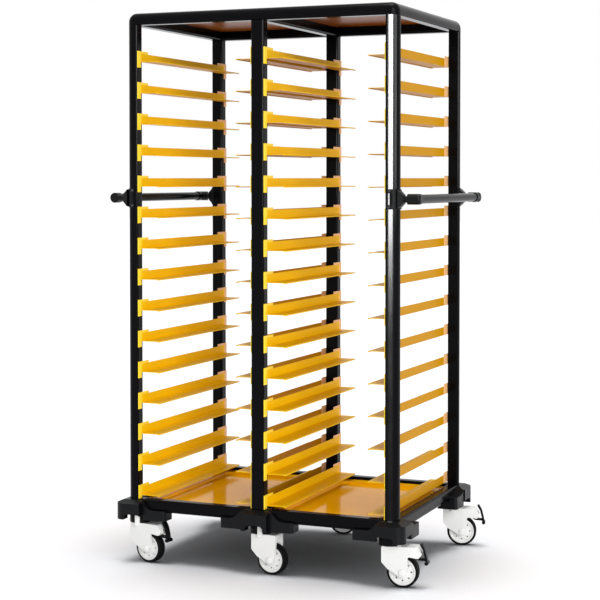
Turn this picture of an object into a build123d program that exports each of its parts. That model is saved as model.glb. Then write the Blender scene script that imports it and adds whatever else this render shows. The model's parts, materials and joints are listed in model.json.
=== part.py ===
from build123d import *
from math import cos, radians, sin
import os

# Two-bay tray trolley: black tube frame, yellow tray slides, side push handles and six swivel casters.
# Frame: +X to the right seen from the front, +Y towards the back, +Z up.
# The origin is on the floor under the middle of the trolley. All lengths are in millimetres.

os.makedirs("parts", exist_ok=True)

# Overall sizes
frame_height = 1806.0
frame_width = 940.0
frame_depth = 680.0

# Frame tube
tube = 40.0
tube_wall = 2.0
mid_post_width = 44.0
outer_round = 28.0
bottom_rail_round = 12.0
small_round = 8.0
spigot_clearance = 0.2
spigot_length = 25.0

# Tray slides
level_count = 15
lowest_ledge_gap = 6.0
highest_ledge_gap = 122.0
slide_sheet = 1.2
slide_web_height = 28.0
slide_reach = 63.0
slide_length = 632.0
slide_hem_width = 6.0
slide_hem_height = 3.2
slide_end_round = 5.0

# Slide brackets
bracket_plate = 1.3
bracket_length = 72.0
bracket_height = 36.0
bracket_foot_drop = 16.0
bracket_floor_gap = 0.3
bracket_end_gap = 0.3
bracket_face_inset = 3.0
bracket_round = 2.0

# Panels
panel_gap = 0.3
roof_sheet = 2.0
roof_drop = 5.0
roof_flange_drop = 3.0
base_sheet = 2.5
base_drop = 10.0
base_rim = 36.0
base_pocket_depth = 9.0
base_pocket_taper = 25.0
base_pocket_round = 22.0

# Bumpers
bumper_reach = 32.0
bumper_over_housing = 14.0
bumper_plate = 26.0
bumper_rise = 38.0
bumper_block_length = 92.0
bumper_slope_in = 24.0
bumper_slope_drop = 11.0
bumper_arm_reach = 13.0
bumper_arm_rise = 7.0
bumper_arm_length = 176.0
bumper_side_reach = 28.0
bumper_side_rise = 14.0
bumper_curve_start = 75.0
bumper_curve_length = 55.0
bumper_mid_half = 127.0
bumper_mid_block_half = 45.0
bumper_mid_raised_half = 32.0
bumper_mid_curve_length = 64.0
bumper_lip = 40.0
bumper_fit = 0.3
bumper_corner_round = 30.0
bumper_arm_round = 11.0
bumper_arch_width = 62.0
bumper_arch_height = 18.0
bumper_arch_round = 12.0
bumper_arch_from_stem = 30.0
bumper_cavity_radius = 45.0
bumper_cavity_depth = 15.0
bumper_pad_radius = 51.0

# Casters
caster_inset = 12.0
caster_trail = 42.0
wheel_radius = 50.0
wheel_rim_radius = 42.0
tyre_width = 32.0
tyre_shoulder = 6.0
tyre_seat_gap = 0.1
wheel_width = 30.0
wheel_hub_radius = 15.0
wheel_hub_width = 35.0
wheel_recess_depth = 4.0
wheel_recess_inner = 18.0
wheel_recess_outer = 37.0
wheel_hole_radius = 3.0
wheel_hole_circle = 27.5
wheel_hole_count = 8
axle_radius = 6.0
axle_head_radius = 8.0
axle_head_height = 3.0
running_clearance = 0.05

# Caster housings: outlines as distances behind the stem, ahead of the wheel and below the housing's top
housing_over_wheel = 30.0
housing_half_width = 27.0
housing_slot_half = 18.2
housing_rear_wall = 11.0
housing_rear_height = 50.0
housing_rear_corner = (2.0, 71.0)
housing_axle_wall = 7.0
housing_arm_front = 18.0
housing_short_front = 23.0
housing_nose_under = 30.0
housing_nose_back = (2.0, 34.0)
housing_nose_tip = (12.0, 23.0)
housing_nose_shoulder = 4.0
housing_round = 6.0
wheel_clearance = 3.0

# Swivel heads
head_radius = 35.0
head_gap = 0.5
stem_radius = 6.0
stem_nut_radius = 10.0
stem_nut_height = 6.0
stem_nut_gap = 0.5
crown_thickness = 21.0
nut_pocket_gap = 0.8
tab_width = 16.0
tab_thickness = 3.7
tab_radius = 40.0
tab_rise = 26.0
tab_root = 12.0
tab_shelf = 8.0

# Brake pedals: the pivot is ahead of the axle, the bar's points are ahead of the wheel
pedal_pivot_ahead = 23.0
pedal_pivot_under = 23.0
pedal_hub_radius = 7.0
pedal_pin_radius = 3.0
pedal_half_width = 9.0
pedal_toe_half_width = 14.0
pedal_slot_gap = 0.6
pedal_slot_room = 1.5
pedal_thickness = 7.0
pedal_arm_thickness = 6.0
pedal_bar_top = (6.0, -9.0)
pedal_bar_bend = (16.0, 8.0)
pedal_bar_low = (22.0, 32.0)
pedal_bar_toe = (25.0, 50.0)
pedal_arm_bend = (-5.0, 39.0)
pedal_arm_end = (22.0, 41.0)
pedal_toe_radius = 6.0

# Caster headings and tab directions in degrees, as the trolley stands
heading_front_left = -10.0
heading_front_mid = -4.0
heading_front_right = 7.0
heading_back_left = 5.0
heading_back_mid = 12.0
heading_back_right = 15.0
tab_turn = -68.0
tab_turn_front_right = -28.0

# Push handles
handle_height = 1201.0
handle_out = 55.5
handle_bar_radius = 14.0
handle_bar_wall = 2.0
handle_bar_end_gap = 0.5
elbow_radius = 16.5
elbow_inner = 29.0
elbow_length = 30.0
elbow_socket = 22.0
elbow_fit = 0.1
elbow_round = 9.0
clamp_height = 62.0
clamp_thickness = 3.0
clamp_fit = 0.2
clamp_front = 30.0
clamp_strap = 13.0
clamp_window_side = 8.0
clamp_boss_reach = 17.0
clamp_boss_base = (34.0, 56.0)
clamp_boss_tip = (22.0, 26.0)
clamp_neck_radius = 10.0
clamp_neck_into = 11.0
screw_radius = 4.0
screw_height = 2.5
screw_in = 24.0

# Heights that follow from the wheels upwards
housing_top = 2 * wheel_radius + housing_over_wheel
bumper_under = housing_top + bumper_over_housing
bottom_rail_under = bumper_under + bumper_plate
bumper_top = bottom_rail_under + bumper_rise
bumper_arm_top = bottom_rail_under + bumper_arm_rise
bumper_side_top = bottom_rail_under + bumper_side_rise

# Derived sizes
half_w = frame_width / 2
half_d = frame_depth / 2
post_x = half_w - tube / 2
post_y = half_d - tube / 2
inner_x = half_w - tube
inner_y = half_d - tube
top_under = frame_height - tube
bottom_rail_top = bottom_rail_under + tube
mid_half = mid_post_width / 2
lowest_ledge_under = bottom_rail_top + lowest_ledge_gap
highest_ledge_under = top_under - highest_ledge_gap
level_pitch = (highest_ledge_under - lowest_ledge_under) / (level_count - 1)
levels = [lowest_ledge_under + step * level_pitch for step in range(level_count)]
corners = ((-1, -1), (1, -1), (-1, 1), (1, 1))

# Two places closer than this count as the same, and cutting shapes reach this far beyond what they cut
same = 0.01
above = 1.0


def corner_profile(sx, sy, inset=0.0, outer=outer_round):
    """Square tube outline centred on the origin, with its own rounding at corner (sx, sy)."""
    half = tube / 2 - inset
    with BuildSketch() as outline:
        Rectangle(2 * half, 2 * half)
        own = outline.vertices().sort_by_distance((sx * tube, sy * tube))[0]
        others = outline.vertices().sort_by_distance((sx * tube, sy * tube))[1:]
        fillet(others, small_round - inset)
        fillet(outline.vertices().sort_by_distance(own.center())[0], outer - inset)
    return outline.sketch


def hollow_profile(sx, sy, outer=outer_round):
    """Tube wall section with its own rounding at corner (sx, sy)."""
    with BuildSketch() as wall:
        add(corner_profile(sx, sy, outer=outer))
        add(corner_profile(sx, sy, tube_wall, outer), mode=Mode.SUBTRACT)
    return wall.sketch


def plain_profile(width):
    """Tube wall section with four small corner roundings."""
    with BuildSketch() as wall:
        RectangleRounded(width, tube, small_round)
        RectangleRounded(width - 2 * tube_wall, tube - 2 * tube_wall, small_round - tube_wall, mode=Mode.SUBTRACT)
    return wall.sketch


def span(x0, x1, y0, y1):
    """Rectangle between two corners, in the open sketch."""
    with Locations(((x0 + x1) / 2, (y0 + y1) / 2)):
        Rectangle(abs(x1 - x0), abs(y1 - y0))


def save(shape, name):
    """Label a finished part and write it to its own file."""
    shape.label = name
    export_step(shape, "parts/" + name + ".step")


# Corner posts, one strongly rounded edge each, on the outside of the frame
for sx, sy in corners:
    with BuildPart() as corner_post:
        with BuildSketch(Plane.XY.offset(bottom_rail_under)):
            with Locations((sx * post_x, sy * post_y)):
                add(hollow_profile(sx, sy))
        extrude(amount=top_under - bottom_rail_under)
    side = "left" if sx < 0 else "right"
    end = "front" if sy < 0 else "back"
    save(corner_post.part, "post_" + end + "_" + side)

# Middle posts between the bottom and top rails
for sy in (-1, 1):
    with BuildPart() as mid_post:
        with BuildSketch(Plane.XY.offset(bottom_rail_top)):
            with Locations((0, sy * post_y)):
                add(plain_profile(mid_post_width))
        extrude(amount=top_under - bottom_rail_top)
    save(mid_post.part, "post_" + ("front" if sy < 0 else "back") + "_mid")

# Front and back rails run along X: sketch x is world Y, sketch y is world Z
top_rail_z = top_under + tube / 2
bottom_rail_z = bottom_rail_under + tube / 2
for name, rail_z, level, rounding in (
    ("top_rails_long", top_rail_z, 1, outer_round),
    ("bottom_rails_long", bottom_rail_z, -1, bottom_rail_round),
):
    with BuildPart() as long_rails:
        for sy in (-1, 1):
            with BuildSketch(Plane.YZ.offset(-inner_x)):
                with Locations((sy * post_y, rail_z)):
                    add(hollow_profile(sy, level, rounding))
            extrude(amount=2 * inner_x)
    save(long_rails.part, name)

# Side rails run along Y: sketch x is world X, sketch y is world Z
for name, rail_z, level, rounding in (
    ("top_rails_side", top_rail_z, 1, outer_round),
    ("bottom_rails_side", bottom_rail_z, -1, bottom_rail_round),
):
    with BuildPart() as side_rails:
        for sx in (-1, 1):
            with BuildSketch(Plane.XZ.offset(-inner_y)):
                with Locations((sx * post_x, rail_z)):
                    add(hollow_profile(sx, level, rounding))
            extrude(amount=2 * inner_y)
    save(side_rails.part, name)

# Middle rails, top and bottom, from front to back
with BuildPart() as mid_rails:
    with BuildSketch(Plane.XZ.offset(-inner_y)):
        for rail_z in (top_rail_z, bottom_rail_z):
            with Locations((0, rail_z)):
                add(plain_profile(tube))
    extrude(amount=2 * inner_y)
save(mid_rails.part, "mid_rails")

# Top corner connectors: a block in the line of the three tubes, with a spigot into each of them
spigot_inset = tube_wall + spigot_clearance
with BuildPart() as top_corners:
    with BuildSketch(Plane.XY.offset(top_under)):
        with GridLocations(2 * post_x, 2 * post_y, 2, 2):
            Rectangle(tube, tube)
    extrude(amount=tube)
    for sx, sy in corners:
        tip = (sx * half_w, sy * half_d, frame_height)
        fillet(top_corners.edges().sort_by_distance(tip)[0:3], outer_round)
    for sx, sy in corners:
        with BuildSketch(Plane.XY.offset(top_under)):
            with Locations((sx * post_x, sy * post_y)):
                add(corner_profile(sx, sy, spigot_inset))
        extrude(amount=-spigot_length)
        with BuildSketch(Plane.YZ.offset(sx * inner_x)):
            with Locations((sy * post_y, top_under + tube / 2)):
                add(corner_profile(sy, 1, spigot_inset))
        extrude(amount=-sx * spigot_length)
        with BuildSketch(Plane.XZ.offset(-sy * inner_y)):
            with Locations((sx * post_x, top_under + tube / 2)):
                add(corner_profile(sx, 1, spigot_inset))
        extrude(amount=sy * spigot_length)
save(top_corners.part, "top_corners")

# Roof panels: a flat sheet with a turned-down flange, one in each bay
bay_near = tube / 2 + panel_gap
bay_far = inner_x - panel_gap
roof_under = frame_height - roof_drop
for sx in (-1, 1):
    with BuildPart() as roof_panel:
        with BuildSketch(Plane.XY.offset(roof_under - roof_flange_drop)):
            with Locations((sx * (bay_near + bay_far) / 2, 0)):
                Rectangle(bay_far - bay_near, 2 * (inner_y - panel_gap))
        extrude(amount=roof_flange_drop + roof_sheet)
        with BuildSketch(Plane.XY.offset(roof_under - roof_flange_drop)):
            with Locations((sx * (bay_near + bay_far) / 2, 0)):
                Rectangle(bay_far - bay_near - 2 * roof_sheet, 2 * (inner_y - panel_gap - roof_sheet))
        extrude(amount=roof_flange_drop, mode=Mode.SUBTRACT)
    save(roof_panel.part, "roof_panel_" + ("left" if sx < 0 else "right"))

# Base panels: a moulding with a shallow pocket, set in between the bottom rails and against their inner sides
base_top = bottom_rail_top - base_drop
for sx in (-1, 1):
    with BuildPart() as base_panel:
        with BuildSketch(Plane.XY.offset(base_top)):
            span(sx * tube / 2, sx * inner_x, -inner_y, inner_y)
        extrude(amount=-base_pocket_depth - base_sheet)
        # The pocket is cut with leaning walls, so its floor is smaller than its mouth
        with BuildSketch(Plane.XY.offset(base_top)):
            with Locations((sx * (tube / 2 + inner_x) / 2, 0)):
                RectangleRounded(inner_x - tube / 2 - 2 * base_rim, 2 * (inner_y - base_rim), base_pocket_round)
        extrude(amount=-base_pocket_depth, taper=base_pocket_taper, mode=Mode.SUBTRACT)
    save(base_panel.part, "base_panel_" + ("left" if sx < 0 else "right"))

# Tray slides: a web against the post and a ledge for the tray, folded from one sheet
slide_columns = (
    ("slides_left_outer", -inner_x, 1),
    ("slides_left_inner", -mid_half, -1),
    ("slides_right_inner", mid_half, 1),
    ("slides_right_outer", inner_x, -1),
)
web_low = slide_hem_height - slide_sheet
for name, face_x, into in slide_columns:
    web_back = face_x + into * bracket_plate
    web_front = web_back + into * slide_sheet
    tip_x = web_front + into * slide_reach
    with BuildPart() as slides:
        with BuildSketch(Plane.XZ.offset(-slide_length / 2)):
            for base_z in levels:
                with BuildLine():
                    Polyline(
                        (web_back, base_z + web_low),
                        (tip_x - into * slide_hem_width, base_z + web_low),
                        (tip_x - into * slide_hem_width, base_z),
                        (tip_x, base_z),
                        (tip_x, base_z + slide_hem_height),
                        (web_front, base_z + slide_hem_height),
                        (web_front, base_z + web_low + slide_web_height),
                        (web_back, base_z + web_low + slide_web_height),
                        close=True,
                    )
                make_face()
        extrude(amount=slide_length)
        tips = slides.edges().filter_by(Axis.Z)
        tips = [e for e in tips if abs(e.center().X - tip_x) < same]
        fillet(tips, slide_end_round)
    save(slides.part, name)


def foot_under(base_z):
    """Lower end of a bracket's foot, which stays clear of the bottom rails at the lowest level."""
    return max(base_z - bracket_foot_drop, bottom_rail_top + bracket_floor_gap)


# Slide brackets: a plate behind the web, and an end stop with a foot under the ledge
for sy in (-1, 1):
    end_y = sy * (half_d - bracket_face_inset)
    stop_y = sy * (slide_length / 2 + bracket_end_gap)
    with BuildPart() as brackets:
        for name, face_x, into in slide_columns:
            with BuildSketch(Plane.YZ.offset(face_x)):
                for base_z in levels:
                    plate_low = base_z + web_low
                    plate_high = plate_low + bracket_height
                    with BuildLine():
                        Polyline(
                            (end_y, foot_under(base_z)),
                            (stop_y, foot_under(base_z)),
                            (stop_y, plate_low),
                            (end_y - sy * bracket_length, plate_low),
                            (end_y - sy * bracket_length, plate_high),
                            (end_y, plate_high),
                            close=True,
                        )
                    make_face()
            extrude(amount=into * bracket_plate)
            with BuildSketch(Plane.YZ.offset(face_x + into * bracket_plate)):
                for base_z in levels:
                    span(end_y, stop_y, foot_under(base_z), base_z + web_low + bracket_height)
            extrude(amount=into * slide_sheet)
        standing = brackets.edges().filter_by(Axis.Z)
        nose = [e for e in standing if abs(e.center().Y - end_y) < same]
        nose = [e for e in nose if abs(abs(e.center().X) - mid_half) > slide_sheet]
        nose = [e for e in nose if abs(abs(e.center().X) - inner_x) > slide_sheet]
        fillet(nose, bracket_round)
    save(brackets.part, "slide_brackets_" + ("front" if sy < 0 else "back"))

# Bumpers: a plate under the rails and a skirt outside them, high at the post and low along the arms
block_far_x = half_w + bumper_reach
block_far_y = half_d + bumper_reach
caster_x = post_x - caster_inset
caster_y = post_y - caster_inset


def s_curve(start, end, far, low):
    """Region above a skirt whose top falls in an S from start to end and runs on level to far."""
    toward = 1 if end > start else -1
    middle = ((start + end) / 2, (bumper_top + low) / 2)
    with BuildSketch() as region:
        with BuildLine():
            Line((start, bumper_top + above), (start, bumper_top))
            TangentArc((start, bumper_top), middle, tangent=(toward, 0))
            TangentArc((end, low), middle, tangent=(-toward, 0))
            Polyline((end, low), (far, low), (far, bumper_top + above), (start, bumper_top + above))
        make_face()
    return region.sketch


def slope(sign, far):
    """Region above the slope that the top of a bumper has towards its outer face at far."""
    with BuildSketch() as region:
        with BuildLine():
            Polyline(
                (sign * (far + above), bumper_top - bumper_slope_drop),
                (sign * far, bumper_top - bumper_slope_drop),
                (sign * (far - bumper_slope_in), bumper_top),
                (sign * (far - bumper_slope_in), bumper_top + above),
                (sign * (far + above), bumper_top + above),
                close=True,
            )
        make_face()
    return region.sketch


def arch(along):
    """Opening in the lower edge of a bumper's skirt, beside a stem that lies at along."""
    with BuildSketch() as opening:
        with Locations((along, bumper_under)):
            RectangleRounded(bumper_arch_width, 2 * bumper_arch_height, bumper_arch_round)
    return opening.sketch


def frame_room():
    """Outline of the frame with the fit round it, in the open sketch."""
    RectangleRounded(2 * (half_w + bumper_fit), 2 * (half_d + bumper_fit), outer_round + bumper_fit)


for sy in (-1, 1):
    with BuildPart() as corner_bumpers:
        for sx in (-1, 1):
            block_x = sx * (block_far_x - bumper_block_length)
            block_y = sy * (block_far_y - bumper_block_length)
            arm_x = sx * (block_far_x - bumper_arm_length)
            arm_y = sy * (block_far_y - bumper_arm_length)
            with BuildSketch(Plane.XY.offset(bumper_under)) as plan:
                span(arm_x, block_x, sy * (half_d - bumper_lip), sy * (half_d + bumper_arm_reach))
                span(sx * (half_w - bumper_lip), sx * (half_w + bumper_side_reach), arm_y, block_y)
                outside = [v for v in plan.vertices() if abs(v.X) > half_w or abs(v.Y) > half_d]
                outer_ends = [v for v in outside if abs(v.X - arm_x) < same or abs(v.Y - arm_y) < same]
                fillet(outer_ends, bumper_arm_round)
                span(block_x, sx * block_far_x, block_y, sy * block_far_y)
                fillet(plan.vertices().sort_by_distance((sx * block_far_x, sy * block_far_y))[0], bumper_corner_round)
                with Locations((sx * caster_x, sy * caster_y)):
                    Circle(bumper_pad_radius)
            extrude(amount=bumper_top - bumper_under)
            curve_x = block_far_x - bumper_curve_start
            curve_y = block_far_y - bumper_curve_start
            with BuildSketch(Plane.XZ.offset(-sy * (half_d - bumper_lip))):
                add(s_curve(sx * curve_x, sx * (curve_x - bumper_curve_length), arm_x - sx * above, bumper_arm_top))
            extrude(amount=-sy * (bumper_lip + bumper_reach), mode=Mode.SUBTRACT)
            with BuildSketch(Plane.YZ.offset(sx * (half_w - bumper_lip))):
                add(s_curve(sy * curve_y, sy * (curve_y - bumper_curve_length), arm_y - sy * above, bumper_side_top))
            extrude(amount=sx * (bumper_lip + bumper_reach), mode=Mode.SUBTRACT)
            with BuildSketch(Plane.YZ.offset(arm_x)):
                add(slope(sy, block_far_y))
            extrude(amount=sx * bumper_arm_length, mode=Mode.SUBTRACT)
            with BuildSketch(Plane.XZ.offset(-arm_y)):
                add(slope(sx, block_far_x))
            extrude(amount=-sy * bumper_arm_length, mode=Mode.SUBTRACT)
            with BuildSketch(Plane.XY.offset(bumper_under)):
                with Locations((sx * caster_x, sy * caster_y)):
                    Circle(bumper_cavity_radius)
            extrude(amount=bumper_cavity_depth, mode=Mode.SUBTRACT)
            with BuildSketch(Plane.XZ.offset(-sy * (caster_y + bumper_arch_from_stem))):
                add(arch(sx * caster_x))
            extrude(amount=-sy * (bumper_reach + bumper_lip), mode=Mode.SUBTRACT)
            with BuildSketch(Plane.YZ.offset(sx * (caster_x + bumper_arch_from_stem))):
                add(arch(sy * caster_y))
            extrude(amount=sx * (bumper_reach + bumper_lip), mode=Mode.SUBTRACT)
        with BuildSketch(Plane.XY.offset(bottom_rail_under)):
            frame_room()
        extrude(amount=bumper_top, mode=Mode.SUBTRACT)
    save(corner_bumpers.part, "bumper_corners_" + ("front" if sy < 0 else "back"))

mid_curve_end = bumper_mid_raised_half + bumper_mid_curve_length
with BuildPart() as mid_bumpers:
    for sy in (-1, 1):
        with BuildSketch(Plane.XY.offset(bumper_under)) as plan:
            span(-bumper_mid_half, bumper_mid_half, sy * (half_d - bumper_lip), sy * (half_d + bumper_arm_reach))
            outer_ends = [v for v in plan.vertices() if abs(v.Y) > half_d]
            fillet(outer_ends, bumper_arm_round)
            span(-bumper_mid_block_half, bumper_mid_block_half, sy * caster_y, sy * block_far_y)
            with Locations((0, sy * caster_y)):
                Circle(bumper_pad_radius)
        extrude(amount=bumper_top - bumper_under)
        with BuildSketch(Plane.XZ.offset(-sy * (inner_y - bumper_lip))):
            for side in (-1, 1):
                far = side * (bumper_mid_half + above)
                add(s_curve(side * bumper_mid_raised_half, side * mid_curve_end, far, bumper_arm_top))
        extrude(amount=-sy * (tube + bumper_lip + bumper_reach), mode=Mode.SUBTRACT)
        with BuildSketch(Plane.YZ.offset(-bumper_mid_half)):
            add(slope(sy, block_far_y))
        extrude(amount=2 * bumper_mid_half, mode=Mode.SUBTRACT)
        with BuildSketch(Plane.XY.offset(bumper_under)):
            with Locations((0, sy * caster_y)):
                Circle(bumper_cavity_radius)
        extrude(amount=bumper_cavity_depth, mode=Mode.SUBTRACT)
        with BuildSketch(Plane.XZ.offset(-sy * (caster_y + bumper_arch_from_stem))):
            add(arch(0))
        extrude(amount=-sy * (bumper_reach + bumper_lip), mode=Mode.SUBTRACT)
    with BuildSketch(Plane.XY.offset(bottom_rail_under)):
        frame_room()
    extrude(amount=bumper_top, mode=Mode.SUBTRACT)
save(mid_bumpers.part, "bumpers_mid")

# Casters: name, stem position, heading, tab direction from the heading, and whether it has a brake
casters = (
    ("front_left", -caster_x, -caster_y, heading_front_left, tab_turn, True),
    ("front_mid", 0.0, -caster_y, heading_front_mid, tab_turn, False),
    ("front_right", caster_x, -caster_y, heading_front_right, tab_turn_front_right, True),
    ("back_left", -caster_x, caster_y, heading_back_left, tab_turn, True),
    ("back_mid", 0.0, caster_y, heading_back_mid, tab_turn, False),
    ("back_right", caster_x, caster_y, heading_back_right, tab_turn, True),
)
stem_points = [(x, y) for _, x, y, _, _, _ in casters]
crown_under = housing_top - crown_thickness
nut_top = crown_under - stem_nut_gap
cavity_ceiling = bumper_under + bumper_cavity_depth


def upright(x, y, heading):
    """Plane through a stem: sketch x points along the heading and sketch y points up."""
    along = (cos(radians(heading)), sin(radians(heading)), 0)
    across = (sin(radians(heading)), -cos(radians(heading)), 0)
    return Plane(origin=(x, y, 0), x_dir=along, z_dir=across)


# Swivel heads, fixed under the bumpers, each with a stem and a nut that carries the housing
with BuildPart() as caster_heads:
    with BuildSketch(Plane.XY.offset(housing_top + head_gap)):
        with Locations(*stem_points):
            Circle(head_radius)
    extrude(amount=cavity_ceiling - housing_top - head_gap)
    with BuildSketch(Plane.XY.offset(nut_top)):
        with Locations(*stem_points):
            Circle(stem_radius)
    extrude(amount=housing_top + head_gap - nut_top)
    with BuildSketch(Plane.XY.offset(nut_top)):
        with Locations(*stem_points):
            RegularPolygon(stem_nut_radius, 6)
    extrude(amount=-stem_nut_height)
save(caster_heads.part, "caster_heads")

wheel_at = (caster_trail, wheel_radius)
wheel_front = caster_trail + wheel_radius
arm_low = wheel_radius - axle_radius - housing_axle_wall
housing_rear = caster_trail - wheel_radius - wheel_clearance - housing_rear_wall
pedal_pivot = (caster_trail + pedal_pivot_ahead, housing_top - pedal_pivot_under)
nose_slot_back = pedal_pivot[0] - pedal_hub_radius - pedal_slot_room
nose_slot_top = pedal_pivot[1] + pedal_hub_radius + pedal_slot_room


def ahead(point):
    """Point of a caster's side view, given ahead of the wheel and below the top of the housing."""
    return (wheel_front + point[0], housing_top - point[1])


braked_front = (
    (caster_trail + housing_arm_front, housing_top - housing_nose_under),
    ahead(housing_nose_back),
    ahead(housing_nose_tip),
    (wheel_front - housing_nose_shoulder, housing_top),
)
short_front = (
    (caster_trail + housing_short_front, housing_top - housing_nose_under),
    (caster_trail + housing_short_front, housing_top),
)

for name, stem_x, stem_y, heading, turn, braked in casters:
    side_view = upright(stem_x, stem_y, heading)

    with BuildPart() as housing:
        with BuildSketch(side_view) as hood:
            with BuildLine():
                Polyline(
                    (housing_rear, housing_top),
                    (housing_rear, housing_top - housing_rear_height),
                    (-housing_rear_corner[0], housing_top - housing_rear_corner[1]),
                    (caster_trail - axle_radius, arm_low),
                    (caster_trail + axle_radius, arm_low),
                    (caster_trail + housing_arm_front, wheel_radius),
                    *(braked_front if braked else short_front),
                    close=True,
                )
            make_face()
            fillet(hood.vertices(), housing_round)
        extrude(amount=housing_half_width, both=True)
        # Upright tab beside the swivel head, on a shelf from the crown
        with BuildSketch(upright(stem_x, stem_y, heading + turn)):
            span(tab_root, tab_radius, housing_top - tab_shelf, housing_top)
            span(tab_radius - tab_thickness, tab_radius, housing_top - tab_shelf, housing_top + tab_rise)
        extrude(amount=tab_width / 2, both=True)
        # Room for the wheel between the cheeks
        with BuildSketch(side_view):
            with Locations(wheel_at):
                Circle(wheel_radius + wheel_clearance)
            span(housing_rear, caster_trail + wheel_radius + wheel_clearance, 0, wheel_radius)
        extrude(amount=housing_slot_half, both=True, mode=Mode.SUBTRACT)
        with BuildSketch(side_view):
            with Locations(wheel_at):
                Circle(axle_radius + running_clearance)
        extrude(amount=housing_half_width, both=True, mode=Mode.SUBTRACT)
        # Bore for the stem and pocket for its nut
        with BuildSketch(Plane.XY.offset(housing_top)):
            with Locations((stem_x, stem_y)):
                Circle(stem_radius + running_clearance)
        extrude(amount=-crown_thickness, mode=Mode.SUBTRACT)
        with BuildSketch(Plane.XY.offset(crown_under)):
            with Locations((stem_x, stem_y)):
                Circle(stem_nut_radius + nut_pocket_gap)
        extrude(amount=-crown_thickness, mode=Mode.SUBTRACT)
        # Open nose, with the brake's pin across it where there is a brake
        with BuildSketch(side_view):
            span(nose_slot_back, wheel_front + housing_nose_tip[0] + above, wheel_radius, nose_slot_top)
        extrude(
            amount=pedal_half_width + pedal_slot_gap if braked else housing_slot_half,
            both=True,
            mode=Mode.SUBTRACT,
        )
        if braked:
            with BuildSketch(side_view):
                with Locations(pedal_pivot):
                    Circle(pedal_pin_radius)
            extrude(amount=pedal_half_width + pedal_slot_gap + above, both=True)
    save(housing.part, "housing_" + name)

    with BuildPart() as wheel:
        with BuildSketch(side_view):
            with Locations(wheel_at):
                Circle(wheel_rim_radius - tyre_seat_gap)
        extrude(amount=wheel_width / 2, both=True)
        for side in (-1, 1):
            with BuildSketch(side_view.offset(side * wheel_width / 2)):
                with Locations(wheel_at):
                    Circle(wheel_recess_outer)
                    Circle(wheel_recess_inner, mode=Mode.SUBTRACT)
            extrude(amount=-side * wheel_recess_depth, mode=Mode.SUBTRACT)
        with BuildSketch(side_view):
            with Locations(wheel_at):
                Circle(wheel_hub_radius)
        extrude(amount=wheel_hub_width / 2, both=True)
        with BuildSketch(side_view):
            with Locations(wheel_at):
                Circle(axle_radius + running_clearance)
                with PolarLocations(wheel_hole_circle, wheel_hole_count):
                    Circle(wheel_hole_radius)
        extrude(amount=wheel_hub_width / 2, both=True, mode=Mode.SUBTRACT)
    save(wheel.part, "wheel_" + name)

    with BuildPart() as tyre:
        with BuildSketch(side_view):
            with Locations(wheel_at):
                Circle(wheel_radius)
        extrude(amount=tyre_width / 2, both=True)
        fillet(tyre.edges(), tyre_shoulder)
        with BuildSketch(side_view):
            with Locations(wheel_at):
                Circle(wheel_rim_radius)
        extrude(amount=tyre_width / 2, both=True, mode=Mode.SUBTRACT)
    save(tyre.part, "tyre_" + name)

    with BuildPart() as axle:
        with BuildSketch(side_view):
            with Locations(wheel_at):
                Circle(axle_radius)
        extrude(amount=housing_half_width, both=True)
        for side in (-1, 1):
            with BuildSketch(side_view.offset(side * housing_half_width)):
                with Locations(wheel_at):
                    Circle(axle_head_radius)
            extrude(amount=side * axle_head_height)
    save(axle.part, "axle_" + name)

    if braked:
        with BuildPart() as pedal:
            with BuildSketch(side_view):
                with BuildLine():
                    bar = FilletPolyline(
                        ahead(pedal_bar_top),
                        ahead(pedal_bar_bend),
                        ahead(pedal_bar_low),
                        ahead(pedal_bar_toe),
                        radius=2 * pedal_thickness,
                    )
                trace(bar, line_width=pedal_thickness)
                with BuildLine():
                    arm = FilletPolyline(
                        pedal_pivot, ahead(pedal_arm_bend), ahead(pedal_arm_end), radius=2 * pedal_arm_thickness
                    )
                trace(arm, line_width=pedal_arm_thickness)
                with Locations(pedal_pivot):
                    Circle(pedal_hub_radius)
                with Locations(pedal_pivot):
                    Circle(pedal_pin_radius + running_clearance, mode=Mode.SUBTRACT)
            extrude(amount=pedal_half_width, both=True)
            with BuildSketch(side_view):
                with Locations(ahead(pedal_bar_toe)):
                    Circle(pedal_toe_radius)
            extrude(amount=pedal_toe_half_width, both=True)
        save(pedal.part, "pedal_" + name)

# Push handles: a hollow bar on each side between two elbows
bar_half = post_y - elbow_length + elbow_socket - handle_bar_end_gap
bar_x = half_w + handle_out
for sx in (-1, 1):
    with BuildPart() as handle_bar:
        with BuildSketch(Plane.XZ):
            with Locations((sx * bar_x, handle_height)):
                Circle(handle_bar_radius)
                Circle(handle_bar_radius - handle_bar_wall, mode=Mode.SUBTRACT)
        extrude(amount=bar_half, both=True)
    save(handle_bar.part, "handle_bar_" + ("left" if sx < 0 else "right"))

with BuildPart() as handle_elbows:
    for sx, sy in corners:
        with BuildSketch(Plane.YZ.offset(sx * (half_w + elbow_inner))):
            with Locations((sy * post_y, handle_height)):
                Circle(elbow_radius)
        extrude(amount=sx * (handle_out + elbow_radius - elbow_inner))
    outer_rims = [e for e in handle_elbows.edges() if abs(e.center().X) > bar_x]
    fillet(outer_rims, elbow_round)
    for sx, sy in corners:
        with BuildSketch(Plane.XZ.offset(-sy * post_y)):
            with Locations((sx * bar_x, handle_height)):
                Circle(elbow_radius)
        extrude(amount=sy * elbow_length)
        with BuildSketch(Plane.XZ.offset(-sy * (post_y - elbow_length))):
            with Locations((sx * bar_x, handle_height)):
                Circle(handle_bar_radius + elbow_fit)
        extrude(amount=-sy * elbow_socket, mode=Mode.SUBTRACT)
        with BuildSketch(Plane.YZ.offset(sx * (half_w + elbow_inner))):
            with Locations((sy * post_y, handle_height)):
                Circle(clamp_neck_radius + elbow_fit)
        extrude(amount=sx * (clamp_neck_into + elbow_fit), mode=Mode.SUBTRACT)
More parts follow.
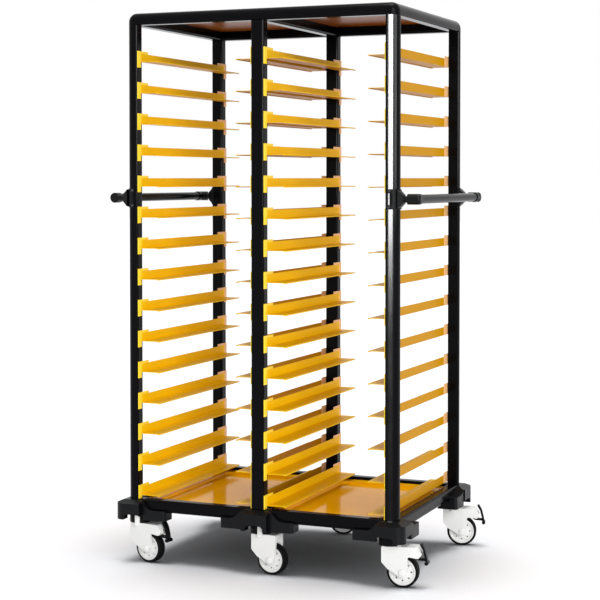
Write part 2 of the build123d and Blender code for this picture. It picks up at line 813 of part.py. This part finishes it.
save(handle_elbows.part, "handle_elbows")

# Brackets wrap the outer side and the outer corner of each corner post, with two straps on its face
strap_face = half_d + clamp_fit + clamp_thickness
window_height = clamp_height - 2 * clamp_strap
with BuildPart() as handle_brackets:
    for sx, sy in corners:
        with BuildSketch(Plane.XY.offset(handle_height - clamp_height / 2)):
            with Locations((sx * post_x, sy * post_y)):
                add(corner_profile(sx, sy, -clamp_fit - clamp_thickness))
                add(corner_profile(sx, sy, -clamp_fit), mode=Mode.SUBTRACT)
        extrude(amount=clamp_height)
    # Nothing of the wrap is left on the inner sides of the posts
    with BuildSketch(Plane.XY.offset(handle_height - clamp_height / 2)):
        Rectangle(2 * (half_w - clamp_front), 2 * frame_depth)
        Rectangle(2 * frame_width, 2 * inner_y)
    extrude(amount=clamp_height, mode=Mode.SUBTRACT)
    # Window between the two straps
    with BuildSketch(Plane.XY.offset(handle_height - window_height / 2)):
        for sx, sy in corners:
            span(0, sx * (half_w - clamp_window_side), sy * half_d, sy * frame_depth)
    extrude(amount=window_height, mode=Mode.SUBTRACT)
    for sx, sy in corners:
        base_x = sx * (half_w + clamp_fit)
        with BuildSketch(Plane.YZ.offset(base_x)):
            with Locations((sy * post_y, handle_height)):
                Rectangle(*clamp_boss_base)
        with BuildSketch(Plane.YZ.offset(base_x + sx * clamp_boss_reach)):
            with Locations((sy * post_y, handle_height)):
                Rectangle(*clamp_boss_tip)
        loft()
        with BuildSketch(Plane.YZ.offset(base_x + sx * clamp_boss_reach)):
            with Locations((sy * post_y, handle_height)):
                Circle(clamp_neck_radius)
        extrude(amount=sx * (elbow_inner + clamp_neck_into - clamp_fit - clamp_boss_reach))
save(handle_brackets.part, "handle_brackets")

with BuildPart() as handle_screws:
    for sy in (-1, 1):
        with BuildSketch(Plane.XZ.offset(-sy * strap_face)):
            with Locations((0, handle_height)):
                with GridLocations(2 * (half_w - screw_in), clamp_height - clamp_strap, 2, 2):
                    Circle(screw_radius)
        extrude(amount=-sy * screw_height)
save(handle_screws.part, "handle_screws")
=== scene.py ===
import json
from math import radians

import bmesh
import bpy
import numpy as np
from bpy.props import FloatProperty, FloatVectorProperty, IntProperty, PointerProperty
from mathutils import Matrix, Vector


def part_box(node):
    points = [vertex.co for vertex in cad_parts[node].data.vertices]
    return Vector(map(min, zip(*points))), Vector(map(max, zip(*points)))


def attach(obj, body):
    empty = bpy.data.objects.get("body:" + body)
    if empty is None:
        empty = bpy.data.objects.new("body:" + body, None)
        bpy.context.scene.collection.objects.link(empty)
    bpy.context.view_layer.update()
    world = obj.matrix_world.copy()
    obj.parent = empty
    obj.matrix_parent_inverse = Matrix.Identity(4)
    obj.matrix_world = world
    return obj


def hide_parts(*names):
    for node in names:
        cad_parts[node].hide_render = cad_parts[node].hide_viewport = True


bl_info = {
    "name": "Tray trolley",
    "version": (1, 0, 0),
    "blender": (4, 5, 0),
    "location": "3D View > Sidebar > Trolley",
    "description": "Finishes, small parts and studio of a two-bay tray trolley with six casters",
    "category": "Object",
}

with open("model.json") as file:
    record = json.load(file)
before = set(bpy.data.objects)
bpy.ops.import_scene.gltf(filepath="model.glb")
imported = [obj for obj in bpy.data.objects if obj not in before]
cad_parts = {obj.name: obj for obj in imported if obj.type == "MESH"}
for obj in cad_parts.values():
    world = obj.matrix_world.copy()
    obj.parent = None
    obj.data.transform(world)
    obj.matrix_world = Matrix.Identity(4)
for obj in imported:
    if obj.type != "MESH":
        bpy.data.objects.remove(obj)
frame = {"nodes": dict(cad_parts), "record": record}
nodes = frame["nodes"]
joints = {joint["name"]: joint for joint in frame["record"]["behaviour"]["joints"]}
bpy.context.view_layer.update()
CASTERS = ("front_left", "front_mid", "front_right", "back_left", "back_mid", "back_right")
MM = 0.001
MERGE_DISTANCE = 0.001 * MM
# Once round, in even steps
TURN = np.linspace(0, 2 * np.pi, 48, endpoint=False)


# Colours and materials


def linear(code):
    """
    Linear colour of an sRGB hex code.
    A part c is c / 12.92 up to 0.04045, and above it ((c + 0.055) / 1.055) to the power 2.4.
    """
    parts = np.array([int(code[i:i + 2], 16) for i in (1, 3, 5)]) / 255
    curve = ((parts + 0.055) / 1.055) ** 2.4
    return tuple(np.where(parts <= 0.04045, parts / 12.92, curve).tolist())


def scaled(colour, *shares):
    """The colour times one share, or times one share each for its red, green and blue."""
    if len(shares) == 1:
        shares *= 3
    return [part * share for part, share in zip(colour, shares)]


def add_node(tree, kind, label, settings=None, sockets=None, links=None):
    """
    Adds a node with its own settings, the values of its inputs, and for an input that is fed
    the (node, output) that feeds it.
    """
    made = tree.nodes.new(kind)
    made.label = label
    for name, value in (settings or {}).items():
        setattr(made, name, value)
    for name, value in (sockets or {}).items():
        made.inputs[name].default_value = value
    for name, (source, output) in (links or {}).items():
        tree.links.new(source.outputs[output], made.inputs[name])
    return made


def finish(
    name, colour, *, shade, patch, grain, depth, rough,
    stretch=(1, 1, 1), sides=(), specular=0.5, metallic=0.0,
):
    """
    Opaque finish with two patterns on Object coordinates.
    patch is the size in mm of areas that turn towards shade times the colour and towards the
    higher of the two values in rough. stretch squeezes these areas along each axis.
    grain is the size in mm of the surface's texture and depth its height in mm.
    sides lists (axis, sign, colour) for faces that look along an axis and get that colour instead.
    These colours are painted shade under the slides, behind their webs and under the base, and
    the roof's real yellow on top, over its painted shade.
    On a Mix node, inputs 6 and 7 and output 2 are its colours.
    """
    made = bpy.data.materials.new(name)
    made.use_nodes = True
    tree = made.node_tree
    tree.nodes.clear()
    place = add_node(tree, "ShaderNodeTexCoord", "place on the piece")
    squeezed = add_node(
        tree, "ShaderNodeMapping", "direction of the patches",
        sockets={"Scale": stretch}, links={"Vector": (place, "Object")},
    )
    patches = add_node(
        tree, "ShaderNodeTexNoise", "patches",
        sockets={"Scale": 1 / (patch * MM), "Detail": 4.0, "Roughness": 0.6},
        links={"Vector": (squeezed, "Vector")},
    )
    texture = add_node(
        tree, "ShaderNodeTexNoise", "grain",
        sockets={"Scale": 1 / (grain * MM), "Detail": 2.0}, links={"Vector": (place, "Object")},
    )
    spread = add_node(
        tree, "ShaderNodeMapRange", "patches spread out",
        sockets={"From Min": 0.35, "From Max": 0.65}, links={"Value": (patches, "Fac")},
    )
    tint = add_node(
        tree, "ShaderNodeMix", "colour", settings={"data_type": "RGBA"},
        sockets={6: (*colour, 1), 7: (*scaled(colour, shade), 1)}, links={0: (spread, "Result")},
    )
    if sides:
        facing = add_node(tree, "ShaderNodeNewGeometry", "direction of the face")
    for axis, sign, own in sides:
        parts = add_node(
            tree, "ShaderNodeSeparateXYZ", "parts of the direction",
            links={"Vector": (facing, "Normal")},
        )
        # A face looks that way when it is turned less than 60 degrees from it
        match = add_node(
            tree, "ShaderNodeMath", "looks that way",
            settings={"operation": "GREATER_THAN" if sign > 0 else "LESS_THAN"},
            sockets={1: 0.5 * sign}, links={0: (parts, axis)},
        )
        # A face that looks that way takes the listed colour: painted shade, or the roof's yellow
        # top
        tint = add_node(
            tree, "ShaderNodeMix", "own colour", settings={"data_type": "RGBA"},
            sockets={7: (*own, 1)}, links={0: (match, 0), 6: (tint, 2)},
        )
    gloss = add_node(
        tree, "ShaderNodeMapRange", "roughness",
        sockets={"To Min": rough[0], "To Max": rough[1]}, links={"Value": (spread, "Result")},
    )
    relief = add_node(
        tree, "ShaderNodeBump", "relief",
        sockets={"Distance": depth * MM}, links={"Height": (texture, "Fac")},
    )
    shader = add_node(
        tree, "ShaderNodeBsdfPrincipled", "surface",
        sockets={"Specular IOR Level": specular, "Metallic": metallic},
        links={
            "Base Color": (tint, 2), "Roughness": (gloss, "Result"), "Normal": (relief, "Normal"),
        },
    )
    add_node(tree, "ShaderNodeOutputMaterial", "result", links={"Surface": (shader, "BSDF")})
    return made


def dress(material, *starts):
    """Gives the material to every CAD node whose name begins with one of the given words."""
    names = [name for name in nodes if name.startswith(starts)]
    if not names:
        raise RuntimeError("no node begins with " + ", ".join(starts))
    for name in names:
        slots = nodes[name].data.materials
        slots.clear()
        slots.append(material)


# Surfaces


def make_piece(name, grids, body, material):
    """
    One object from an array of closed surfaces, shaped (surface, row, column, xyz) in mm.
    Columns run round and meet again, and a first or last row whose points coincide is a pole.
    """
    count, rows, columns, _ = grids.shape
    surfaces = np.arange(count)[:, None, None] * rows * columns
    start = surfaces + np.arange(rows - 1)[None, :, None] * columns
    here = start + np.arange(columns)
    beside = start + (np.arange(columns) + 1) % columns
    faces = np.stack([here, beside, beside + columns, here + columns], axis=-1).reshape(-1, 4)
    mesh = bpy.data.meshes.new(name)
    mesh.from_pydata((grids * MM).reshape(-1, 3), [], faces)
    shell = bmesh.new()
    shell.from_mesh(mesh)
    bmesh.ops.remove_doubles(shell, verts=shell.verts, dist=MERGE_DISTANCE)
    bmesh.ops.recalc_face_normals(shell, faces=shell.faces)
    shell.to_mesh(mesh)
    shell.free()
    mesh.shade_smooth()
    mesh.materials.append(material)
    made = bpy.data.objects.new(name, mesh)
    bpy.context.collection.objects.link(made)
    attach(made, body)
    return made


def turned(profile, centres, axes, waves=1):
    """
    Profiles of (radius, height) in mm carried once round each axis.
    A point is the centre, plus its height along the axis, plus its radius times cosine and sine
    of the turn along two directions square to the axis. waves scales the radius by row and column.
    """
    axes = axes / np.linalg.norm(axes, axis=1, keepdims=True)
    # Each axis is crossed with Z, or with X where it stands nearly upright itself
    upright = np.abs(axes[:, 2:]) > 0.9
    aside = np.cross(axes, np.where(upright, (1.0, 0.0, 0.0), (0.0, 0.0, 1.0)))
    aside /= np.linalg.norm(aside, axis=1, keepdims=True)
    third = np.cross(axes, aside)
    outward = np.cos(TURN)[:, None] * aside[:, None, None]
    outward = outward + np.sin(TURN)[:, None] * third[:, None, None]
    radius = np.broadcast_to(profile[:, 0, None] * waves, (len(profile), len(TURN)))
    radius = radius[None, ..., None]
    along = profile[None, :, None, 1:] * axes[:, None, None]
    return centres[:, None, None] + along + radius * outward


def across_wheel(name):
    """Centre of a caster's wheel in mm and the direction of its axle."""
    roll = joints["roll_" + name]
    return np.array(roll["pos_m"]) / MM, np.array(roll["axis"], dtype=float)


def box_mm(low, high):
    """Lowest and highest corner of a box, turned from metres to mm."""
    return np.array(low) / MM, np.array(high) / MM


def every(x, y, z):
    """Every point that one value each of x, y and z gives, as rows."""
    return np.stack(np.meshgrid(x, y, z, indexing="ij"), axis=-1).reshape(-1, 3)


# Sizes and colours that can be changed


class TrolleyColours(bpy.types.PropertyGroup):
    """Colours of the trolley's finishes."""

    tube: FloatVectorProperty(
        name="Tubes", description="Powder coat on the frame and the push bars",
        subtype="COLOR", min=0, max=1, default=linear("#08080a"),
    )
    slide: FloatVectorProperty(
        name="Slides", description="Coated sheet of the tray slides and on top of the roof",
        subtype="COLOR", min=0, max=1, default=linear("#f4c306"),
    )
    bracket: FloatVectorProperty(
        name="Front brackets", description="Moulded brackets and end stops at the front posts",
        subtype="COLOR", min=0, max=1, default=linear("#ffdc30"),
    )
    bracket_back: FloatVectorProperty(
        name="Back brackets", description="Undyed brackets and end stops at the back posts",
        subtype="COLOR", min=0, max=1, default=linear("#f4be84"),
    )
    # The roof's colour is painted shade: the brownish orange of the yellow sheet's underside and
    # edges
    roof: FloatVectorProperty(
        name="Roof", description="Underside and edges of the two roof panels",
        subtype="COLOR", min=0, max=1, default=linear("#8c4c12"),
    )
    base: FloatVectorProperty(
        name="Base", description="Moulded base panels",
        subtype="COLOR", min=0, max=1, default=linear("#fcba08"),
    )
    bumper: FloatVectorProperty(
        name="Bumpers", description="Moulded bumpers, handle fittings, swivel heads and pedals",
        subtype="COLOR", min=0, max=1, default=linear("#08090b"),
    )
    white: FloatVectorProperty(
        name="Caster housings", description="Moulded housings, wheels and hub caps",
        subtype="COLOR", min=0, max=1, default=linear("#e4e4e2"),
    )
    rubber: FloatVectorProperty(
        name="Tyres", description="Rubber of the tyres",
        subtype="COLOR", min=0, max=1, default=linear("#060606"),
    )
    floor: FloatVectorProperty(
        name="Floor", description="Matt paint of the floor",
        subtype="COLOR", min=0, max=1, default=linear("#f9fafd"),
    )


class TrolleySizes(bpy.types.PropertyGroup):
    """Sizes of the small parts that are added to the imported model."""

    cheek_width: FloatProperty(
        name="Housing width", description="Distance between the outer sides of a caster housing",
        unit="LENGTH", min=0, default=0.054,
    )
    cap_radius: FloatProperty(
        name="Hub cap radius", description="Radius of the caps over the axle heads",
        unit="LENGTH", min=0, default=0.0098,
    )
    cap_height: FloatProperty(
        name="Hub cap height", description="Height of the caps over the side of the housing",
        unit="LENGTH", min=0, default=0.0046,
    )
    screw_radius: FloatProperty(
        name="Screw head radius", description="Radius of the button heads in the handle brackets",
        unit="LENGTH", min=0, default=0.0046,
    )
    screw_height: FloatProperty(
        name="Screw head height", description="Height of the button heads over the strap",
        unit="LENGTH", min=0, default=0.0027,
    )
    weld_radius: FloatProperty(
        name="Weld radius", description="Radius of the weld beads at the middle posts and rails",
        unit="LENGTH", min=0, default=0.0024,
    )
    weld_ripples: IntProperty(
        name="Weld ripples", description="Ripples along each weld bead",
        min=1, default=11,
    )


# Finishes of the CAD nodes


class FrameFinish(bpy.types.Operator):
    """Black finish of the posts, rails, corner connectors and push bars"""

    bl_idname = "trolley.frame_finish"
    bl_label = "Finish the tubes"

    def execute(self, context):
        colour = context.scene.trolley_colours.tube
        # Steel tube with satin polyester powder coat: deep black, with the soft dimples of a
        # flowed powder, real ones about 1 mm, drawn at 3 mm so that they break up a highlight
        coat = finish(
            "powder coated steel black", colour,
            shade=0.8, patch=90, grain=3.0, depth=0.0015, rough=(0.14, 0.18), specular=0.05,
        )
        dress(coat, "post_", "top_rails", "bottom_rails", "mid_rails", "handle_bar")
        # Cast aluminium under the same powder: a little duller, because the rough casting shows
        cast = finish(
            "powder coated cast aluminium", colour,
            shade=0.85, patch=60, grain=2.0, depth=0.004, rough=(0.2, 0.26), specular=0.05,
        )
        dress(cast, "top_corners")
        return {"FINISHED"}


class SheetFinish(bpy.types.Operator):
    """Yellow finish of the slides, the brackets, the roof and the base"""

    bl_idname = "trolley.sheet_finish"
    bl_label = "Finish the sheet parts"

    def execute(self, context):
        colours = context.scene.trolley_colours
        # Folded steel sheet with yellow powder coat: warm deep yellow with long faint rub marks
        # from the trays, which run from front to back. The underside and the back of the web get a
        # darker gold, which is painted shade
        painted_shade = scaled(colours.slide, 0.6, 0.46, 0.4)
        for side, sign, other in (("left", -1, "right"), ("right", 1, "left")):
            slide = finish(
                "powder coated steel yellow " + side, colours.slide,
                shade=0.97, patch=12, grain=2.5, depth=0.006, rough=(0.32, 0.42),
                stretch=(1, 0.04, 1), sides=(("Z", -1, painted_shade), ("X", sign, painted_shade)), specular=0.03,
            )
            dress(slide, "slides_" + side + "_outer", "slides_" + other + "_inner")
        # Moulded polyamide, dyed through: brighter and cleaner than the sheet, with a soft
        # moulded shine
        bracket = finish(
            "moulded polyamide yellow", colours.bracket,
            shade=0.96, patch=30, grain=1.2, depth=0.008, rough=(0.3, 0.38), specular=0.2,
        )
        dress(bracket, "slide_brackets_front")
        # The same polyamide undyed: pale and skin coloured, with the same shine
        undyed = finish(
            "moulded polyamide undyed", colours.bracket_back,
            shade=0.94, patch=30, grain=1.2, depth=0.008, rough=(0.3, 0.38), specular=0.2,
        )
        dress(undyed, "slide_brackets_back")
        # Flat coated sheet, even deep yellow on top. Below and on its cut edges it is brownish
        # orange, which is painted shade
        roof = finish(
            "powder coated roof sheet", colours.roof,
            shade=0.9, patch=160, grain=2.5, depth=0.006, rough=(0.28, 0.36),
            sides=(("Z", 1, colours.slide),), specular=0.1,
        )
        dress(roof, "roof_panel")
        # Vacuum formed ABS, glossy deep yellow: mirrors the posts and the white backdrop over its
        # yellow. Its underside is painted near black as shade, so that it throws no yellow on the
        # floor and the shadow under the trolley stays dark
        base = finish(
            "thermoformed abs yellow", colours.base,
            shade=0.95, patch=120, grain=14, depth=0.01, rough=(0.1, 0.14),
            sides=(("Z", -1, linear("#161616")),), specular=0.03,
        )
        dress(base, "base_panel")
        return {"FINISHED"}


class BumperFinish(bpy.types.Operator):
    """Black finish of the bumpers, the handle fittings, the swivel heads and the pedals"""

    bl_idname = "trolley.bumper_finish"
    bl_label = "Finish the bumpers and fittings"

    def execute(self, context):
        colour = context.scene.trolley_colours.bumper
        # Polyethylene from an etched mould: dull black with a soft grey sheen on its slopes. The
        # etching is about 0.5 mm and drawn at 1.6 mm, so that it shows
        bumper = finish(
            "etched polyethylene black", colour,
            shade=0.85, patch=40, grain=1.6, depth=0.05, rough=(0.3, 0.4), specular=0.15,
        )
        dress(bumper, "bumper")
        # Moulded glass filled polyamide: darker than the bumpers and with a tighter grain
        fitting = finish(
            "glass filled polyamide black", scaled(colour, 0.8),
            shade=0.9, patch=25, grain=1.0, depth=0.02, rough=(0.34, 0.42), specular=0.15,
        )
        dress(fitting, "handle_elbows", "handle_brackets")
        # Moulded polyamide from a smooth mould: even deep black with hardly any sheen
        smooth = finish(
            "smooth polyamide black", scaled(colour, 0.7),
            shade=0.9, patch=25, grain=2.0, depth=0.01, rough=(0.3, 0.4), specular=0.08,
        )
        dress(smooth, "caster_heads", "pedal_")
        return {"FINISHED"}


class CasterFinish(bpy.types.Operator):
    """Finish of the housings, wheels, tyres, axles and bracket screws"""

    bl_idname = "trolley.caster_finish"
    bl_label = "Finish the casters"

    def execute(self, context):
        colours = context.scene.trolley_colours
        # Moulded polyamide, dyed white: clean and bright with a soft shine
        white = finish(
            "moulded polyamide white", colours.white,
            shade=0.97, patch=40, grain=3.0, depth=0.006, rough=(0.24, 0.32), specular=0.08,
        )
        dress(white, "housing_")
        # Moulded polypropylene: a shade softer and duller than the housing
        wheel = finish(
            "moulded polypropylene white", colours.white,
            shade=0.95, patch=25, grain=2.0, depth=0.008, rough=(0.34, 0.42), specular=0.08,
        )
        dress(wheel, "wheel_")
        # Thermoplastic rubber: nearly flat black, scuffed to a duller grey in patches by the floor
        tyre = finish(
            "thermoplastic rubber black", colours.rubber,
            shade=1.6, patch=18, grain=0.9, depth=0.03, rough=(0.6, 0.78), specular=0.1,
        )
        dress(tyre, "tyre_")
        # Zinc plated turned steel: pale grey metal with fine marks of the turning
        zinc = finish(
            "zinc plated steel", linear("#c9cbcc"),
            shade=0.9, patch=6, grain=0.6, depth=0.006, rough=(0.28, 0.4), metallic=1.0,
        )
        dress(zinc, "axle_")
        # Black oxide steel: dark grey metal with a thin film of oil
        oxide = finish(
            "black oxide steel", linear("#4a4b4e"),
            shade=0.85, patch=5, grain=0.5, depth=0.004, rough=(0.3, 0.4), metallic=1.0,
        )
        dress(oxide, "handle_screws")
        return {"FINISHED"}


# Small parts


class HubCaps(bpy.types.Operator):
    """Domed caps over both heads of each axle"""

    bl_idname = "trolley.hub_caps"
    bl_label = "Add the hub caps"

    def execute(self, context):
        sizes = context.scene.trolley_sizes
        # The collar's share of the cap's height, and the rest in mm
        collar = 0.25
        sunk = 0.5
        groove_radius, groove_width, groove_depth = 5.5, 0.7, 0.35
        # The profile is a quarter of a superellipse of power 3 on a straight collar, with a shallow
        # ring groove, and t runs from the collar to the middle:
        # radius = R (1 - t^3)^(1/3) and
        # height = H (collar + (1 - collar) t) - depth exp(-((radius - groove) / width)^2)
        t = np.linspace(0, 1, 22)
        radius = sizes.cap_radius / MM * (1 - t**3) ** (1 / 3)
        height = sizes.cap_height / MM * (collar + (1 - collar) * t)
        height -= groove_depth * np.exp(-(((radius - groove_radius) / groove_width) ** 2))
        foot = [(0.0, -sunk), (sizes.cap_radius / MM, -sunk)]
        profile = np.concatenate([foot, np.stack([radius, height], axis=1)])
        white = bpy.data.materials["moulded polyamide white"]
        for name in CASTERS:
            centre, axis = across_wheel(name)
            axes = np.stack([axis, -axis])
            centres = centre + axes * sizes.cheek_width / 2 / MM
            grids = turned(profile, centres, axes)
            make_piece("hub_caps_" + name, grids, "caster_" + name, white)
        return {"FINISHED"}


class ScrewHeads(bpy.types.Operator):
    """Button heads with a hexagon socket in the straps of the handle brackets"""

    bl_idname = "trolley.screw_heads"
    bl_label = "Add the screw heads"

    def execute(self, context):
        sizes = context.scene.trolley_sizes
        # The heads sit on the brackets' faces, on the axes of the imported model's plain heads
        plain_radius, sunk = 4, 0.4
        low, high = box_mm(*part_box("handle_screws"))
        face_low, face_high = box_mm(*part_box("handle_brackets"))
        inwards = np.array([1, -1]) * plain_radius
        x = np.array([low[0], high[0]]) + inwards
        y = np.array([face_low[1], face_high[1]])
        z = np.array([low[2], high[2]]) + inwards
        places = every(x, y, z)
        axes = np.sign(places) * (0, 1, 0)
        # Shares of the head's radius and height
        slope, socket_radius, flats = 0.42, 0.5, 0.87
        socket_foot, socket_middle = 0.35, 0.3
        # The dome runs on t from the rim to the socket, with height = H sin(t pi / 2)^0.7. The
        # socket's radius follows a hexagon: at a turn a it is that of the flats, divided by the
        # cosine of a measured from the nearest flat
        r, h = sizes.screw_radius / MM, sizes.screw_height / MM
        t = np.linspace(0, 1, 9)
        dome = np.stack([r * (1 - slope * t), h * np.sin(t * np.pi / 2) ** 0.7], axis=1)
        mouth, foot = (socket_radius * r, h), (socket_radius * r, socket_foot * h)
        socket = [mouth, foot, (0.0, socket_middle * h)]
        profile = np.concatenate([[(0.0, -sunk), (r, -sunk)], dome, socket])
        waves = np.ones((len(profile), len(TURN)))
        waves[-len(socket):] = flats / np.cos((TURN + np.pi / 6) % (np.pi / 3) - np.pi / 6)
        heads = turned(profile, places, axes, waves)
        oxide = bpy.data.materials["black oxide steel"]
        made = make_piece("screw_heads", heads, "frame", oxide)
        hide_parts("handle_screws")
        return {"FINISHED"}


class Welds(bpy.types.Operator):
    """Weld beads where the middle posts and rails meet the long rails"""

    bl_idname = "trolley.welds"
    bl_label = "Add the weld beads"

    def execute(self, context):
        sizes = context.scene.trolley_sizes
        # Half the length of each kind of bead, and the places of the upright ones over the
        # underside of the rails' box and under its top, in mm
        level_half, upright_half = 11.0, 6.0
        over_underside, under_top = 18, 32
        # The ripples' share of the radius, and the power that closes the ends
        ripple, power = 0.12, 12
        post_low, post_high = box_mm(*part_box("post_front_mid"))
        rail_low, rail_high = box_mm(*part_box("mid_rails"))
        side = np.array([-1.0, 1.0])
        # Level beads on the sides of the middle posts, just under the long top rails
        post_middle = (post_low[1] + post_high[1]) / 2
        level = every(side * post_high[0], side * post_middle, [post_high[2]])
        # Upright beads on the sides of the middle rails, where they meet the long rails
        heights = [rail_low[2] + over_underside, rail_high[2] - under_top]
        upright = every(side * rail_high[0], side * rail_high[1], heights)
        # A bead is a rod that swells in even ripples and closes at its ends, and t runs along it:
        # radius = R (1 + ripple |sin(n pi t)|) sqrt(1 - (2 t - 1)^power)
        t = np.linspace(0, 1, 90)
        swell = 1 + ripple * np.abs(np.sin(sizes.weld_ripples * np.pi * t))
        radius = sizes.weld_radius / MM * swell * np.sqrt(np.maximum(1 - (2 * t - 1) ** power, 0))
        beads = []
        for centres, axis, half in (
            (level, (0.0, 1.0, 0.0), level_half),
            (upright, (0.0, 0.0, 1.0), upright_half),
        ):
            profile = np.stack([radius, (2 * t - 1) * half], axis=1)
            beads.append(turned(profile, centres, np.tile(axis, (len(centres), 1))))
        coat = bpy.data.materials["powder coated steel black"]
        make_piece("weld_beads", np.concatenate(beads), "frame", coat)
        return {"FINISHED"}


# Studio


def add_lamp(name, kind, energy, turn, place=(0, 0, 0), **shape):
    """A lamp turned by degrees about each axis, with the settings of its kind's shape."""
    light = bpy.data.lights.new(name, kind)
    light.energy = energy
    for setting, value in shape.items():
        setattr(light, setting, value)
    lamp = bpy.data.objects.new(name, light)
    lamp.location = place
    lamp.rotation_euler = [radians(part) for part in turn]
    bpy.context.collection.objects.link(lamp)
    return lamp


def link_light(lamp, objects, state="INCLUDE"):
    """Makes a lamp light only the given objects, or with state EXCLUDE all but them."""
    linked = bpy.data.collections.new(lamp.name + " and what it lights")
    for made in objects:
        linked.objects.link(made)
    for entry in linked.collection_objects:
        entry.light_linking.link_state = state
    lamp.light_linking.receiver_collection = linked


class Studio(bpy.types.Operator):
    """White floor and backdrop, soft light and the camera"""

    bl_idname = "trolley.studio"
    bl_label = "Set up the studio"

    def execute(self, context):
        scene = context.scene
        scene.view_settings.view_transform = "Standard"
        # Matt painted floor: white and even, so that only the trolley's soft shadow shows on it
        matt = finish(
            "matt painted floor", scene.trolley_colours.floor,
            shade=0.995, patch=900, grain=4, depth=0.004, rough=(0.9, 0.95), specular=0.0,
        )
        reach = 40.0
        corners = [(x * reach, y * reach, 0.0) for x, y in ((-1, -1), (1, -1), (1, 1), (-1, 1))]
        mesh = bpy.data.meshes.new("floor")
        mesh.from_pydata(corners, [], [(0, 1, 2, 3)])
        mesh.materials.append(matt)
        floor = bpy.data.objects.new("floor", mesh)
        context.collection.objects.link(floor)

        # The backdrop is the world: white where it is looked at, mirrored or seen through glass,
        # and a plain level as a light
        level_as_light, level_as_backdrop = 0.32, 1.0
        world = bpy.data.worlds.new("backdrop")
        world.use_nodes = True
        tree = world.node_tree
        tree.nodes.clear()
        path = add_node(tree, "ShaderNodeLightPath", "kind of ray")
        seen = add_node(
            tree, "ShaderNodeMath", "looked at or mirrored", settings={"operation": "MAXIMUM"},
            links={0: (path, "Is Camera Ray"), 1: (path, "Is Glossy Ray")},
        )
        white = add_node(
            tree, "ShaderNodeMath", "or seen through glass", settings={"operation": "MAXIMUM"},
            links={0: (seen, 0), 1: (path, "Is Transmission Ray")},
        )
        level = add_node(
            tree, "ShaderNodeMapRange", "strength",
            sockets={"To Min": level_as_light, "To Max": level_as_backdrop},
            links={"Value": (white, 0)},
        )
        glow = add_node(
            tree, "ShaderNodeBackground", "light",
            sockets={"Color": (1, 1, 1, 1)}, links={"Strength": (level, 0)},
        )
        add_node(tree, "ShaderNodeOutputWorld", "result", links={"Surface": (glow, "Background")})
        scene.world = world

        # A wide overhead light makes the shadow under the trolley
        softness = radians(40)
        add_lamp("overhead", "SUN", 2.8, (-2, 0, 0), angle=softness)
        # A low light from the right front reaches in between the slides. It leaves the floor out,
        # which it would otherwise light up under the trolley
        front = add_lamp("front", "SUN", 2.4, (72, 0, 42), angle=softness)
        link_light(front, [floor], "EXCLUDE")
        # Two soft panels show only in the gloss of the posts: the one in front draws the white
        # line on the near post, and the one on the right the grey lines along the rounded edges
        # of all of them
        for name, (width, height), place, turn, energy, posts in (
            ("front panel", (5.6, 2.8), (1.56, -6.24, 2.25), 10.5, 17000, "post_front_right"),
            ("right panel", (1.6, 1.5), (3.0, -1.2, 1.95), 71.0, 170, "post_"),
        ):
            panel = add_lamp(
                name, "AREA", energy, (90, 0, turn), place,
                shape="RECTANGLE", size=width, size_y=height,
            )
            panel.visible_diffuse = False
            link_light(panel, [nodes[post] for post in nodes if post.startswith(posts)])

        # The camera stands at the right front, a little under chest height, and looks a little down
        camera = bpy.data.cameras.new("camera")
        camera.lens = 95.47
        camera.sensor_width = 36.0
        camera.shift_y = -0.1253
        camera.clip_start = 0.1
        camera.clip_end = 200.0
        eye = bpy.data.objects.new("camera", camera)
        eye.location = (2.07925, -4.94030, 1.26484)
        eye.rotation_euler = (radians(90 - 1.669), 0, radians(22.769))
        context.collection.objects.link(eye)
        scene.camera = eye
        return {"FINISHED"}


class TrolleyPanel(bpy.types.Panel):
    """Colours, sizes and steps of the tray trolley"""

    bl_idname = "VIEW3D_PT_trolley"
    bl_label = "Tray trolley"
    bl_space_type = "VIEW_3D"
    bl_region_type = "UI"
    bl_category = "Trolley"

    def draw(self, context):
        for group in (context.scene.trolley_colours, context.scene.trolley_sizes):
            box = self.layout.box()
            for name in type(group).__annotations__:
                box.prop(group, name)
        for step in STEPS:
            self.layout.operator(step.bl_idname)


STEPS = (FrameFinish, SheetFinish, BumperFinish, CasterFinish, HubCaps, ScrewHeads, Welds, Studio)
GROUPS = {"trolley_colours": TrolleyColours, "trolley_sizes": TrolleySizes}


def register():
    for made in (*GROUPS.values(), *STEPS, TrolleyPanel):
        bpy.utils.register_class(made)
    for name, group in GROUPS.items():
        setattr(bpy.types.Scene, name, PointerProperty(type=group))


def unregister():
    for name in GROUPS:
        delattr(bpy.types.Scene, name)
    for made in reversed((*GROUPS.values(), *STEPS, TrolleyPanel)):
        bpy.utils.unregister_class(made)


def main():
    register()
    for step in STEPS:
        area, name = step.bl_idname.split(".")
        getattr(getattr(bpy.ops, area), name)()


if __name__ == "__main__":
    main()
